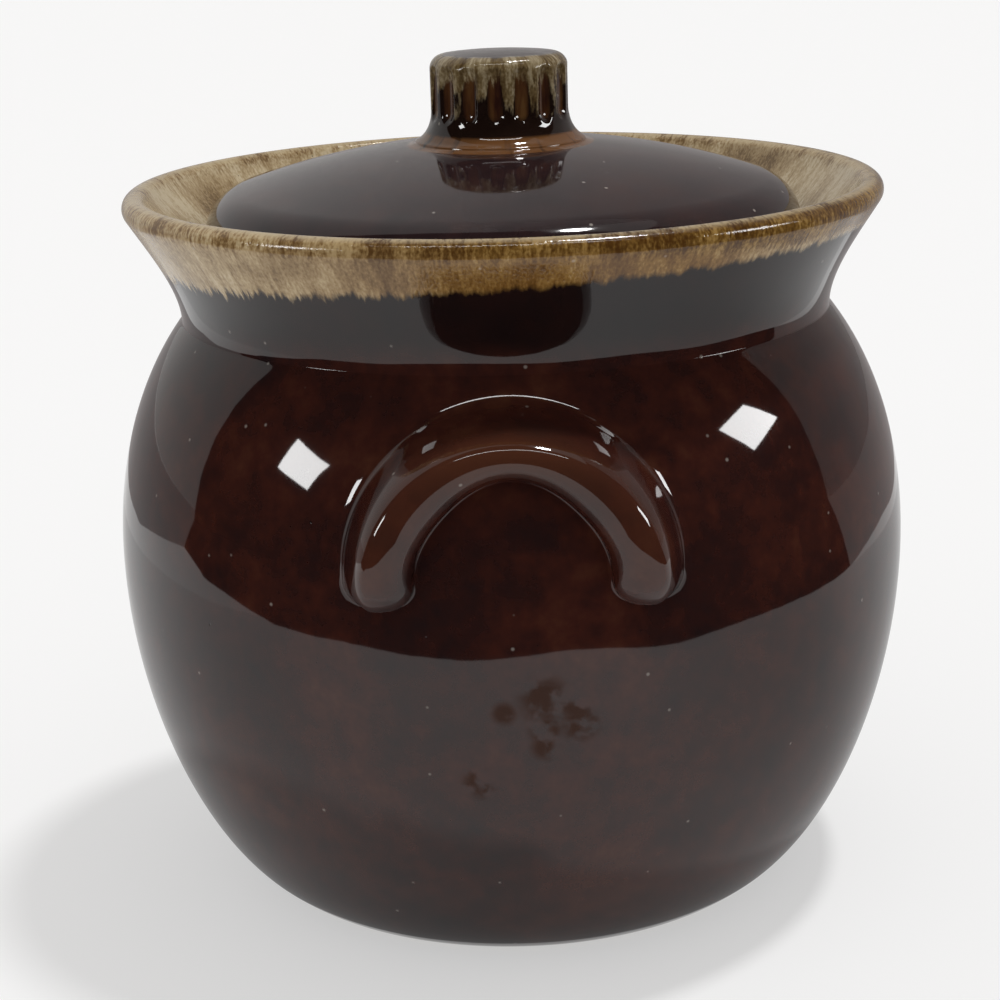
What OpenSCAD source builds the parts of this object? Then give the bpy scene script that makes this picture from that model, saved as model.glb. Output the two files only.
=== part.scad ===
// Stoneware bean pot with two lug handles and a lift-off lid. All sizes are in millimetres.
// Z points up. The origin is the middle of the foot ring, on the surface that the pot stands on.
// One handle faces -Y and the other +Y.

/* [Pot] */
// Diameter of the belly at its widest
belly_d = 178; // [166:1:196]
// Height at which the belly is widest
belly_h = 77; // [70:1:84]
// Diameter where the outer wall meets the surface below
foot_d = 117.2; // [104:0.2:130]
// How steeply the wall leaves the foot, in degrees above level
heel_angle = 22; // [15:1:35]
// How far the curve of the heel reaches before it turns up
heel_pull = 16; // [10:0.5:20]
// How full the wall is below the belly
lower_fullness = 36; // [28:1:42]
// How full the wall is above the belly
upper_fullness = 34; // [24:1:38]
// Thickness of the wall
wall = 6; // [4.5:0.1:7.5]
// Thickness of the bottom, over the hollow of the foot
bottom_t = 7; // [5:0.1:10]
// Width of the ring that the pot stands on
foot_ring_w = 7; // [4:0.5:12]
// Depth of the hollow inside the foot ring
foot_hollow = 2.5; // [1:0.1:4]

/* [Neck and rim] */
// Diameter of the neck, the narrowest place under the rim
neck_d = 145.3; // [141:0.1:151]
// How far the neck lies below the top of the rim
neck_drop = 26.3; // [24:0.1:30]
// How tightly the wall turns below the neck
neck_tuck = 3; // [1.5:0.1:6]
// How far the wall rises out of the neck before it flares
flare_rise = 8.3; // [5:0.1:10]
// Diameter over the rim
rim_d = 167.2; // [162:0.2:174]
// Height of the top of the rim
rim_h = 158.3; // [155:0.1:164]
// Lean of the flare under the rim, in degrees from upright
flare_angle = 32; // [24:1:38]
// Thickness of the rounded rim
rim_t = 5.6; // [4.6:0.1:7]

/* [Lid seat] */
// Depth of the ledge for the lid, below the top of the rim
seat_depth = 21.3; // [20:0.1:24]
// Width of the ledge
ledge_w = 6.3; // [4:0.1:8]
// Thickness of the ledge at its inner edge
ledge_t = 5; // [3:0.1:7]
// Gap all round between the lid and the pot
lid_gap = 0.8; // [0.6:0.1:2]

/* [Lid] */
// Height of the dome above the ledge
dome_rise = 30.1; // [27:0.1:34]
// Radius of the curve of the dome
dome_r = 195; // [150:1:260]
// Radius of the rounded shoulder of the lid
shoulder_r = 9.4; // [8.5:0.1:13]
// Thickness of the dome
lid_wall = 6; // [4:0.1:7]
// Height of the ring under the lid that keeps it centred
skirt_h = 7.5; // [5:0.1:10]
// Thickness of that ring
skirt_t = 4.5; // [3:0.1:6]

/* [Knob] */
// Diameter of the knob over its ridges
knob_d = 30.3; // [26:0.1:33]
// Height of the knob above the dome
knob_h = 20; // [18:0.1:24]
// Radius of the rounded edge at the top of the knob
knob_edge_r = 3.1; // [1.5:0.1:4]
// Rise of the top of the knob to its middle
knob_crown = 0.7; // [0.2:0.1:1.5]
// Diameter of the ring at the foot of the knob
knob_ring_d = 37.6; // [36:0.1:41]
// Height of the outer face of that ring
knob_ring_h = 1.8; // [1.2:0.1:3]
// Height at which the waist of the knob ends and its straight side starts
waist_h = 6; // [4.5:0.1:7]
// Number of flutes round the knob
flutes = 16; // [12:1:18]
// Radius of the scoop of a flute
flute_r = 3.2; // [2.4:0.1:3.6]
// Depth of a flute
flute_depth = 1; // [0.5:0.1:1.4]
// Height above the dome at which a flute starts
flute_start = 4.6; // [4:0.1:6]
// Distance from the end of a flute to the top of the knob
flute_stop = 1.6; // [1:0.1:4]
// Turn of the flutes, in degrees from the front
flute_turn = 7.5; // [0:0.5:22]

/* [Handles] */
// Radius of the arch along the middle of the handle
arch_r = 26.4; // [24:0.1:30]
// How far the middle of the arch lies below the neck
arch_drop = 38.5; // [36:0.1:44]
// Length of the straight leg below the arch
leg_l = 0.5; // [0:0.5:6]
// Length of the rounded end of a leg
toe_l = 6; // [4:0.5:9]
// Height above the end of a leg over which the leg sinks back to the wall
sink_h = 17; // [8:0.5:24]
// Width of the handle where it meets the pot
lug_w = 14.8; // [11:0.1:17]
// How far the handle stands out from the pot
lug_out = 12; // [8:0.1:16]
// Offset of the ridge of a leg from the middle of the handle, towards the outside
ridge_shift = 1.8; // [0:0.1:2.5]
// How far the ridge drops towards the inside at the top of the arch
ridge_drop = 2.1; // [0:0.1:3]
// How deep the back of the handle is pressed into the wall
lute_depth = 0.6; // [0.3:0.1:1.5]

/* [Hidden] */
$fn = 96;

glaze_brown = [0.13, 0.05, 0.035];
glaze_lid = [0.10, 0.045, 0.035];
glaze_tan = [0.52, 0.42, 0.28];

// Steps along a long curve, and along a short one
long_steps = 14;
short_steps = 8;

foot_r = foot_d / 2;
belly_r = belly_d / 2;
neck_r = neck_d / 2;
rim_r = rim_d / 2;
neck_h = rim_h - neck_drop;
floor_h = foot_hollow + bottom_t;

// The seat: a flat ledge, and the upright wall round it that the lid stands inside
seat_h = rim_h - seat_depth;
gallery_r = neck_r - wall;
ledge_r = gallery_r - ledge_w;

// Points of a smooth curve from a to d, pulled towards b and c
function curve(a, b, c, d, steps) = [
    for (i = [0 : steps])
        let (t = i / steps, s = 1 - t)
        s * s * s * a + 3 * s * s * t * b + 3 * s * t * t * c + t * t * t * d
];

// Points of an arc about a centre, from one angle to another
function arc(centre, r, from, to, steps) = [
    for (i = [0 : steps])
        let (angle = from + (to - from) * i / steps)
        centre + r * [cos(angle), sin(angle)]
];

// The list without its first point, so that two curves meet in one point
function rest(points) = [for (i = [1 : len(points) - 1]) points[i]];
function reversed(points) = [for (i = [len(points) - 1 : -1 : 0]) points[i]];
function unit(v) = v / norm(v);

// The direction of a line of points at one of them
function heading(points, i) =
    unit(points[min(i + 1, len(points) - 1)] - points[max(i - 1, 0)]);

// A line of points moved to its left by a distance
function moved_in(points, distance) = [
    for (i = [0 : len(points) - 1])
        let (way = heading(points, i))
        points[i] + distance * [-way[1], way[0]]
];

// Outer wall of the pot, from the foot up to the neck
heel = [foot_r, 0];
belly = [belly_r, belly_h];
neck = [neck_r, neck_h];
lower_wall = curve(heel, heel + heel_pull * [cos(heel_angle), sin(heel_angle)],
                   belly - [0, lower_fullness], belly, long_steps);
upper_wall = curve(belly, belly + [0, upper_fullness],
                   neck - [0, neck_tuck], neck, long_steps);

// The rim is a round bead at the end of the flare
bead_r = rim_t / 2;
bead = [rim_r - bead_r, rim_h - bead_r];
flare_way = [sin(flare_angle), cos(flare_angle)];
flare_end = bead + bead_r * [flare_way[1], -flare_way[0]];
flare_start = bead - bead_r * [flare_way[1], -flare_way[0]];
flare = curve(neck, neck + [0, flare_rise],
              flare_end - flare_rise * flare_way, flare_end, short_steps);
rim = arc(bead, bead_r, -flare_angle, 180 - flare_angle, short_steps);

// Inside of the flare, down to the ledge
seat_corner = [gallery_r, seat_h];
gallery = curve(flare_start, flare_start - flare_rise * flare_way,
                seat_corner + [0, flare_rise], seat_corner, short_steps);

outer_wall = concat(lower_wall, rest(upper_wall));
cavity_wall = moved_in(outer_wall, wall);

// The cavity starts at a rounded corner of the floor and ends in a slope under the ledge
ledge_under = seat_h - ledge_t;
corner_rise = 5;
cavity_side = [
    for (p = cavity_wall)
        if (p[1] > floor_h + corner_rise && p[1] < ledge_under - ledge_w) p
];
corner_top = cavity_side[0];
corner_way = heading(cavity_side, 0);
corner_reach = 2 * corner_rise;
floor_corner = curve([corner_top[0] - corner_reach, floor_h], [corner_top[0] - corner_rise, floor_h],
                     corner_top - corner_rise / 2 * corner_way, corner_top, short_steps);

// Radius of the outer wall at a height
wall_by_height = [for (p = outer_wall) [p[1], p[0]]];
function outer_r(h) = lookup(h, wall_by_height);

module pot_body() {
    hollow_r = foot_r - foot_ring_w;
    color(glaze_brown)
    rotate_extrude()
    polygon(concat(
        outer_wall,
        rest(flare),
        rest(rim),
        rest(gallery),
        [[ledge_r, seat_h], [ledge_r, ledge_under]],
        reversed(cavity_side),
        rest(reversed(floor_corner)),
        [[0, floor_h], [0, foot_hollow], [hollow_r - foot_hollow, foot_hollow], [hollow_r, 0]]
    ));
}

// Cross-section of a handle as [distance across, distance out from the wall]. It starts at the outside
// edge with a hollow fillet, rises to the ridge, rolls over and drops steeply to the inside edge.
// The last two points are the back of the handle, pressed into the wall.
fillet = [0.78, 0.09];
crown_outside = 0.5;
crown_inside = 0.5;
inside_height = 0.5;
function lug_section(width, out, turn) =
    let (
        half = width * lug_w / 2,
        ridge = [width * (ridge_shift - ridge_drop * sin(turn)), out]
    )
    concat(
        curve([half, 0], [half * fillet[0], out * fillet[1]],
              ridge + [half * crown_outside, 0], ridge, short_steps),
        rest(curve(ridge, ridge - [half * crown_inside, 0],
                   [-half, out * inside_height], [-half, 0], short_steps)),
        [[-half, -lute_depth], [half, -lute_depth]]
    );

// Stations along the handle as [sideways, height, turn of the section, width of the section as a share].
// They run from the tip of one leg over the arch to the tip of the other, and the tips are rounded off.
arch_steps = 28;
toe_steps = 6;
tip_size = 0.17;
arch_h = neck_h - arch_drop;
toe_h = arch_h - leg_l - toe_l;
function toe_size(t) = sqrt(1 - t * t * (1 - tip_size * tip_size));
function lug_height(h) = lug_out * toe_size(1 - min(1, (h - toe_h) / sink_h));
function leg(side) = [
    for (i = [0 : toe_steps])
        let (t = sin(90 * i / toe_steps))
        [side * arch_r, arch_h - leg_l - toe_l * t, 90 - side * 90, toe_size(t)]
];
arch = [
    for (i = [0 : arch_steps])
        let (turn = 180 * i / arch_steps)
        [arch_r * cos(turn), arch_h + arch_r * sin(turn), turn, 1]
];
legs_join = leg_l > 0 ? arch : [for (i = [1 : arch_steps - 1]) arch[i]];
stations = concat(reversed(leg(1)), legs_join, leg(-1));

// A point of the handle's skin, on the front of the pot
function lug_point(station, p) =
    let (
        x = station[0] + p[0] * cos(station[2]),
        h = station[1] + p[0] * sin(station[2]),
        r = outer_r(h)
    )
    [x, -sqrt(r * r - x * x) - p[1], h];

module handle() {
    rings = [
        for (s = stations)
        [for (p = lug_section(s[3], lug_height(s[1]), s[2])) lug_point(s, p)]
    ];
    count = len(rings[0]);
    last = len(rings) - 1;
    skin = [
        for (k = [0 : last - 1])
        for (i = [0 : count - 1])
            let (
                a = k * count + i,
                b = k * count + (i + 1) % count
            )
            each [[a, b, b + count], [a, b + count, a + count]]
    ];
    ends = [
        [for (i = [count - 1 : -1 : 0]) i],
        [for (i = [0 : count - 1]) last * count + i]
    ];
    color(glaze_brown)
    polyhedron(points = [for (r = rings) each r], faces = concat(skin, ends));
}

module front_handle() {
    handle();
}

module rear_handle() {
    rotate([0, 0, 180]) handle();
}

// The lid stands on the ledge inside the rim. A flat on top of the dome carries the knob.
lid_r = gallery_r - lid_gap;
knob_ring_r = knob_ring_d / 2;
dome_centre = seat_h + dome_rise - dome_r;
knob_seat_h = dome_centre + sqrt(dome_r * dome_r - knob_ring_r * knob_ring_r);

// Radius and height of the centre of a shoulder that runs smoothly into the dome
function shoulder_centre(edge_r, corner_r, cap_r) =
    let (r = edge_r - corner_r)
    [r, dome_centre + sqrt(pow(cap_r - corner_r, 2) - r * r)];

// Half of the dome's outline, from a radius near the middle to the upright edge
function dome_line(start_r, edge_r, corner_r, cap_r) =
    let (
        c = shoulder_centre(edge_r, corner_r, cap_r),
        meet = acos(c[0] / (cap_r - corner_r))
    )
    concat(
        arc([0, dome_centre], cap_r, acos(start_r / cap_r), meet, long_steps),
        rest(arc(c, corner_r, meet, 0, short_steps))
    );

module lid() {
    skirt_r = ledge_r - lid_gap;
    inner_r = skirt_r - skirt_t;
    skirt_bottom = seat_h - skirt_h;
    bevel = 1;
    color(glaze_lid)
    rotate_extrude()
    polygon(concat(
        [[0, knob_seat_h]],
        dome_line(knob_ring_r, lid_r, shoulder_r, dome_r),
        [[lid_r, seat_h + bevel], [lid_r - bevel, seat_h], [skirt_r, seat_h]],
        [[skirt_r, skirt_bottom + bevel], [skirt_r - bevel, skirt_bottom], [inner_r, skirt_bottom]],
        reversed(dome_line(0, inner_r, shoulder_r - lid_wall, dome_r - lid_wall))
    ));
}

// Side of the knob, from its seat on the dome up to the middle of its top. The ring at its foot has
// broken edges, the waist curls up out of it, and the top is a flat crown with a round edge.
knob_r = knob_d / 2;
ring_edge = 0.5;
waist_foot = [knob_ring_r - 2 * ring_edge, knob_ring_h];
waist_top = [knob_r, waist_h];
waist_curl = 0.45;
waist_pull = (waist_h - knob_ring_h) * waist_curl;
crown_tilt = 6;
crown_edge = [knob_r - knob_edge_r, knob_h - knob_crown - knob_edge_r];
knob_side = concat(
    [[0, 0], [knob_ring_r - ring_edge, 0], [knob_ring_r, ring_edge]],
    [[knob_ring_r, knob_ring_h - ring_edge], [knob_ring_r - ring_edge, knob_ring_h]],
    curve(waist_foot, waist_foot - [waist_pull, 0], waist_top - [0, waist_pull], waist_top, short_steps),
    arc(crown_edge, knob_edge_r, 0, 90 - crown_tilt, short_steps),
    [[crown_edge[0] / 2, knob_h - knob_crown / 4], [0, knob_h]]
);

// Tool that cuts one flute: an upright rod with round ends
module flute_cutter() {
    flute_top = knob_h - flute_stop;
    rotate_extrude()
    polygon(concat(
        arc([0, flute_start + flute_r], flute_r, -90, 0, short_steps),
        arc([0, flute_top - flute_r], flute_r, 0, 90, short_steps)
    ));
}

module lid_knob() {
    color(glaze_tan)
    translate([0, 0, knob_seat_h])
    difference() {
        rotate_extrude() polygon(knob_side);
        for (i = [0 : flutes - 1])
            rotate([0, 0, flute_turn - 90 + (i + 0.5) * 360 / flutes])
            translate([knob_r - flute_depth + flute_r, 0, 0])
            flute_cutter();
    }
}

pot_body();
front_handle();
rear_handle();
lid();
lid_knob();
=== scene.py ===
"""A stoneware bean pot: a dark glazed body with two lug handles, and a loose lid with a fluted knob.

Lengths are in metres, written as numbers of millimetres times MM. Z is up, and the pot stands on z = 0.
"""

import math
from functools import partial

import bpy
import numpy as np
from mathutils import Matrix, Vector


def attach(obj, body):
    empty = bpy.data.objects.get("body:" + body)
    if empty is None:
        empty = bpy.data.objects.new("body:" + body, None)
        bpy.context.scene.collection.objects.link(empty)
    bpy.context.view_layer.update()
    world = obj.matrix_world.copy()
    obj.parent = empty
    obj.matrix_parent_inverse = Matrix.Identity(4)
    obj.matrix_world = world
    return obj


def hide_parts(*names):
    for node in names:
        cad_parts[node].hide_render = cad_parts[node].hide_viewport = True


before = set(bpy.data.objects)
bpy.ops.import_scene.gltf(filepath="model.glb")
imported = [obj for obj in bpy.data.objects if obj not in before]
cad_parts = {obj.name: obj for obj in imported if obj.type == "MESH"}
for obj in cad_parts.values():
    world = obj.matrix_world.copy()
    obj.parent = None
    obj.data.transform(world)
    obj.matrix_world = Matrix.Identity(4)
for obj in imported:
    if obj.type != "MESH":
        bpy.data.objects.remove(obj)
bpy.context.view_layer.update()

scene = bpy.context.scene
MM = 0.001

# ---------------------------------------------------------------------------------------------
# Camera: a long lens close to the pot, looking a little down into the rim. The pot leans a hair
# to the left in the picture, as a hand-held camera makes it.
CAMERA_AT = Vector((0, -479.5, 225.8)) * MM
LOOKS_AT = Vector((-2.5, 0, 83.6)) * MM
CAMERA_ROLL = math.radians(1.7)
LENS = 77.7
SENSOR = 36

camera = bpy.data.objects.new("camera", bpy.data.cameras.new("camera"))
camera.data.lens = LENS
camera.data.sensor_width = SENSOR
camera.data.clip_start = 10 * MM
aim = (LOOKS_AT - CAMERA_AT).to_track_quat("-Z", "Y").to_matrix().to_4x4()
camera.matrix_world = Matrix.Translation(CAMERA_AT) @ aim @ Matrix.Rotation(-CAMERA_ROLL, 4, "Z")
scene.collection.objects.link(camera)
scene.camera = camera
scene.view_settings.view_transform = "Standard"


# ---------------------------------------------------------------------------------------------
# Floor: a plain pale table top that runs to the horizon. The camera and the shiny glaze see it half
# as itself, with the pot's shadow, and half as plain white.
FLOOR_REACH = 12
FLOOR_COLOUR = (0.93, 0.93, 0.93)
FLOOR_ROUGHNESS, FLOOR_SHINE = 0.9, 0.1
FLOOR_WHITE = 0.5
FLOOR_DROP = 0.05 * MM


def flat_mesh(name, corners):
    """A single flat face through the given corners."""
    mesh = bpy.data.meshes.new(name)
    mesh.from_pydata(corners, [], [list(range(len(corners)))])
    piece = bpy.data.objects.new(name, mesh)
    scene.collection.objects.link(piece)
    return piece


def new_material(name, roughness):
    """A material with its Principled shader, as (material, tree, shader)."""
    material = bpy.data.materials.new(name)
    material.use_nodes = True
    shader = material.node_tree.nodes["Principled BSDF"]
    shader.inputs["Roughness"].default_value = roughness
    return material, material.node_tree, shader


def math_step(tree, operation, *values, clamp=False):
    """A Math node on sockets or plain numbers, and its result."""
    node = tree.nodes.new("ShaderNodeMath")
    node.operation = operation
    node.use_clamp = clamp
    for socket, value in zip(node.inputs, values):
        if isinstance(value, bpy.types.NodeSocket):
            tree.links.new(value, socket)
        else:
            socket.default_value = value
    return node.outputs[0]


floor = flat_mesh("floor", [(x * FLOOR_REACH, y * FLOOR_REACH, -FLOOR_DROP)
                            for x, y in ((-1, -1), (1, -1), (1, 1), (-1, 1))])
floor_paint, floor_tree, floor_shader = new_material("floor_paint", FLOOR_ROUGHNESS)
floor_shader.inputs["Base Color"].default_value = (*FLOOR_COLOUR, 1)
floor_shader.inputs["Specular IOR Level"].default_value = FLOOR_SHINE
looks = floor_tree.nodes.new("ShaderNodeLightPath")
white, seen = floor_tree.nodes.new("ShaderNodeEmission"), looks.outputs["Is Camera Ray"]
for look in ("Is Glossy Ray", "Is Transmission Ray"):
    seen = math_step(floor_tree, "MAXIMUM", seen, looks.outputs[look])
part = math_step(floor_tree, "MULTIPLY", seen, FLOOR_WHITE)
floor_mix = floor_tree.nodes.new("ShaderNodeMixShader")
for source, target in ((part, floor_mix.inputs[0]), (floor_shader.outputs[0], floor_mix.inputs[1]),
                       (white.outputs[0], floor_mix.inputs[2]),
                       (floor_mix.outputs[0], floor_tree.nodes["Material Output"].inputs["Surface"])):
    floor_tree.links.new(source, target)
floor.data.materials.append(floor_paint)

# ---------------------------------------------------------------------------------------------
# Light: an even pale sky, a lamp overhead, and three softboxes that only the shiny glaze mirrors: one
# window at each side of the front handle, and a long strip above the camera that draws thin lines
# along the handle.
SKY = (0.52, 0.51, 0.50)
SKY_STRENGTH = 1.0
OVERHEAD_STRENGTH = 1.4
OVERHEAD_SPREAD = math.radians(6)
OVERHEAD_TILT = (math.radians(-5), math.radians(14), 0)
LAMP_CENTRE, LAMP_DISTANCE = Vector((0, 0, 100)) * MM, 1.6
WINDOW_BRIGHT, STRIP_BRIGHT = 17, 15

world = bpy.data.worlds.new("sky")
world.use_nodes = True
world.node_tree.nodes["Background"].inputs["Color"].default_value = (*SKY, 1)
world.node_tree.nodes["Background"].inputs["Strength"].default_value = SKY_STRENGTH
scene.world = world

overhead = bpy.data.objects.new("overhead", bpy.data.lights.new("overhead", "SUN"))
overhead.data.energy = OVERHEAD_STRENGTH
overhead.data.angle = OVERHEAD_SPREAD
overhead.rotation_euler = OVERHEAD_TILT
scene.collection.objects.link(overhead)


def softbox(name, turn, lift, across, upward, brightness):
    """A window-shaped lamp round the pot, at a turn from the front and a lift above level in degrees.

    Across and upward are its two edges as (right, up, away) as the pot sees it, in metres.
    """
    turn, lift = math.radians(turn), math.radians(lift)
    way = Vector((math.sin(turn) * math.cos(lift), -math.cos(turn) * math.cos(lift), math.sin(lift)))
    across, upward = Vector(across), Vector(upward)
    lamp = bpy.data.objects.new(name, bpy.data.lights.new(name, "AREA"))
    lamp.data.shape = "RECTANGLE"
    lamp.data.size, lamp.data.size_y = across.length, upward.length
    lamp.data.energy = brightness * math.pi * across.length * upward.length
    facing = (-way).to_track_quat("-Z", "Y").to_matrix().to_4x4()
    frame_axes = (across.normalized(), upward.normalized(), across.cross(upward).normalized())
    lamp.matrix_world = (Matrix.Translation(LAMP_CENTRE + way * LAMP_DISTANCE) @ facing
                         @ Matrix(frame_axes).transposed().to_4x4())
    lamp.visible_diffuse = False
    scene.collection.objects.link(lamp)


softbox("left_window", -64.5, 21.1, (0.338, -0.081, 0.116), (0.098, 0.242, -0.116), WINDOW_BRIGHT)
softbox("right_window", 80, 23.7, (0.387, 0.061, 0.280), (-0.209, 0.240, 0.237), WINDOW_BRIGHT)
softbox("strip", 2, 70, (1.30, 0, 0), (0, 0.06, 0), STRIP_BRIGHT)

# ---------------------------------------------------------------------------------------------
# Cards, as a maker's photographer sets them round shiny ware: black ones lie on the table in front,
# stand behind the camera and hang overhead, grey ones lie, stand and hang behind the pot, and a thin
# dark veil lies round its foot as a painted shadow. Only the mirror of the glaze sees them. Turns are in
# degrees from the front, and distances and heights in millimetres.
BLACK_EDGE = ((-100, 660), (-88, 475), (-62, 360), (-30, 312), (40, 312), (75, 336), (100, 372))
GREY_EDGE = ((100, 372), (125, 420), (180, 440), (235, 470), (260, 660))
EDGE_WAVE = 9
EDGE_WAVES = 7
CARD_LIFT = 0.5
STANDING_R, TABLE_FAR = 2500, 11500
FRONT_TURN, BACK_TURN = 100, 205
CARD_HEIGHT = 4000
CEILING_CENTRE = 1
CEILING_EDGE = ((-180, 370), (-150, 427), (-120, 740), (-105, 1430), (-98, 2600), (82, 2600),
                (86, 670), (130, 560), (150, 427), (180, 370))
GREY_FADE = (200, 165)
ROOF_FROM, ROOF_NEAR = 130, 372
CARD_STEPS = 120
CARD_BLACK, CARD_GREY = (0.012, 0.010, 0.010), (0.40, 0.38, 0.38)
# The foot veil, a painted shadow: its distances, and how dark it is at the front and at the sides
FOOT_SHADE_MARKS = (62, 80, 110, 200, 300, 372)
FOOT_SHADE_FRONT = (0.62, 0.32, 0.10, 0, 0, 0)
FOOT_SHADE_SIDE = (0.55, 0.45, 0.40, 0.34, 0.26, 0.18)
FOOT_SHADE_LEFT = 0.65
FOOT_SHADE_FROM, FOOT_SHADE_TO = 25, 85


def ring(turns, distance, height):
    """Points at turns in degrees from the front, at a distance and a height in millimetres."""
    turns = np.radians(turns)
    across, away, height = np.broadcast_arrays(distance * np.sin(turns), distance * np.cos(turns), height)
    return np.stack([across, -away, height], axis=1) * MM


def card(name, paint, rows, cover=1):
    """A bent card between rows of points, with how much of what lies behind it each point covers."""
    count = len(rows[0])
    faces = [(row * count + i, row * count + i + 1, (row + 1) * count + i + 1, (row + 1) * count + i)
             for row in range(len(rows) - 1) for i in range(count - 1)]
    mesh = bpy.data.meshes.new(name)
    mesh.from_pydata(np.vstack(rows).tolist(), [], faces)
    cover = np.broadcast_to(cover, (len(rows), count)).astype(np.float32)
    mesh.attributes.new("cover", "FLOAT", "POINT").data.foreach_set("value", cover.ravel())
    sheet = bpy.data.objects.new(name, mesh)
    sheet.data.materials.append(paint)
    sheet.visible_camera = sheet.visible_diffuse = sheet.visible_shadow = False
    scene.collection.objects.link(sheet)


def table_card(name, paint, edge):
    """A card on the table, from a slightly wavy edge of (turn from the front in degrees, distance)."""
    marks, distances = np.array(edge, float).T
    turns = np.linspace(marks[0], marks[-1], CARD_STEPS + 1)
    near = np.interp(turns, marks, distances) + EDGE_WAVE * np.sin(EDGE_WAVES * np.radians(turns))
    card(name, paint, (ring(turns, near, CARD_LIFT), ring(turns, TABLE_FAR, CARD_LIFT)))


def grey_cover(turns):
    """How much a grey card covers at each turn: it fades out past the back of the pot."""
    return np.clip((turns - GREY_FADE[0]) / (GREY_FADE[1] - GREY_FADE[0]), 0, 1)


card_paint = {}
for name, colour in (("card_black", CARD_BLACK), ("card_grey", CARD_GREY)):
    card_paint[name], card_tree, card_shader = new_material(name, 1)
    card_shader.inputs["Base Color"].default_value = (*colour, 1)
    card_shader.inputs["Specular IOR Level"].default_value = 0
    card_cover = card_tree.nodes.new("ShaderNodeAttribute")
    card_cover.attribute_name = "cover"
    card_tree.links.new(card_cover.outputs["Fac"], card_shader.inputs["Alpha"])
table_card("black_table_card", card_paint["card_black"], BLACK_EDGE)
table_card("grey_table_card", card_paint["card_grey"], GREY_EDGE)
front_turns = np.linspace(-FRONT_TURN, FRONT_TURN, CARD_STEPS + 1)
back_turns = np.linspace(FRONT_TURN, BACK_TURN, CARD_STEPS + 1)
card("black_standing_card", card_paint["card_black"],
     (ring(front_turns, STANDING_R, 0), ring(front_turns, STANDING_R, CARD_HEIGHT)))
card("grey_standing_card", card_paint["card_grey"],
     (ring(back_turns, STANDING_R, 0), ring(back_turns, STANDING_R, CARD_HEIGHT)), grey_cover(back_turns))
roof_turns = back_turns[back_turns > ROOF_FROM]
roof_edge = ROOF_NEAR / -np.cos(np.radians(roof_turns))
card("grey_ceiling_card", card_paint["card_grey"],
     (ring(roof_turns, roof_edge, CARD_HEIGHT), ring(roof_turns, STANDING_R, CARD_HEIGHT)),
     grey_cover(roof_turns))
all_turns = np.linspace(-180, 180, CARD_STEPS + 1)
ceiling_edge = np.interp(all_turns, *np.transpose(CEILING_EDGE))
card("black_ceiling_card", card_paint["card_black"],
     (ring(all_turns, CEILING_CENTRE, CARD_HEIGHT), ring(all_turns, ceiling_edge, CARD_HEIGHT)))
# The foot veil is a painted shadow round the foot that the glaze mirrors: darkest by the foot, reaching
# further out at the sides
beside = np.clip((np.abs(all_turns) - FOOT_SHADE_FROM) / (FOOT_SHADE_TO - FOOT_SHADE_FROM), 0, 1)
beside = (beside ** 2 * (3 - 2 * beside) * np.where(all_turns < 0, FOOT_SHADE_LEFT, 1))[None, :]
card("foot_shadow_card", card_paint["card_black"], [ring(all_turns, r, CARD_LIFT / 2) for r in FOOT_SHADE_MARKS],
     np.array(FOOT_SHADE_FRONT)[:, None] * (1 - beside) + np.array(FOOT_SHADE_SIDE)[:, None] * beside)


# ---------------------------------------------------------------------------------------------
# Pot body: one stoneware shell, slip-cast, with a full belly, a tucked neck and a flared rim. It is
# glazed inside and out, apart from the ring it stands on, and the rim is dipped in a foaming glaze
# that runs down in streaks.
BELLY_R, BELLY_H = 89 * MM, 77 * MM
FOOT_R = 58.6 * MM
HEEL_ANGLE = math.radians(22)
HEEL_PULL = 16 * MM
LOWER_FULLNESS = 36 * MM
UPPER_FULLNESS = 36 * MM
NECK_R, NECK_H = 72.3 * MM, 130.2 * MM
NECK_TUCK = 0.8 * MM
FLARE_RISE, FLARE_PULL = 7.5 * MM, 9.5 * MM
GALLERY_R, GALLERY_RISE = 66.65 * MM, 8.3 * MM
FLARE_ANGLE = math.radians(32)
RIM_R, RIM_H = 83.6 * MM, 158.3 * MM
RIM_T = 5.6 * MM
WALL = 6 * MM
WALL_STEPS = 60
SEAT_H = 137 * MM
LEDGE_W = 6.3 * MM
LEDGE_T = 5 * MM
FLOOR_H = 9.5 * MM
CORNER_RISE = 5 * MM
FOOT_RING_W = 7 * MM
FOOT_HOLLOW = 2.5 * MM
BREAK_R = 0.6 * MM
HEEL_CUT = 4
BODY_AROUND = 256


def curve(a, b, c, d, steps):
    """Points of a smooth curve from a to d, pulled towards b and c."""
    t = np.linspace(0, 1, steps + 1)[:, None]
    a, b, c, d = (np.array(p, float) for p in (a, b, c, d))
    s = 1 - t
    return s ** 3 * a + 3 * s * s * t * b + 3 * s * t * t * c + t ** 3 * d


def arc(centre, r, start, stop, steps):
    """Points of an arc about a centre, between two angles in radians."""
    t = np.linspace(start, stop, steps + 1)
    return np.array(centre) + r * np.stack([np.cos(t), np.sin(t)], axis=1)


def join(*lines):
    """One line of points, without the points that lie on top of each other."""
    points = np.vstack([np.atleast_2d(line) for line in lines])
    apart = np.linalg.norm(np.diff(points, axis=0), axis=1) > 1e-3 * MM
    return points[np.concatenate([[True], apart])]


def rounded(points, r, steps=5):
    """A line of points with its corners rounded, apart from its two ends."""
    out = [points[0]]
    for before, corner, after in zip(points, points[1:], points[2:]):
        into, away = corner - before, after - corner
        reach = min(r, np.linalg.norm(into) / 2, np.linalg.norm(away) / 2)
        start = corner - into / np.linalg.norm(into) * reach
        stop = corner + away / np.linalg.norm(away) * reach
        out.extend(curve(start, (start + 2 * corner) / 3, (stop + 2 * corner) / 3, stop, steps))
    return np.array(out + [points[-1]])


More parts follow.
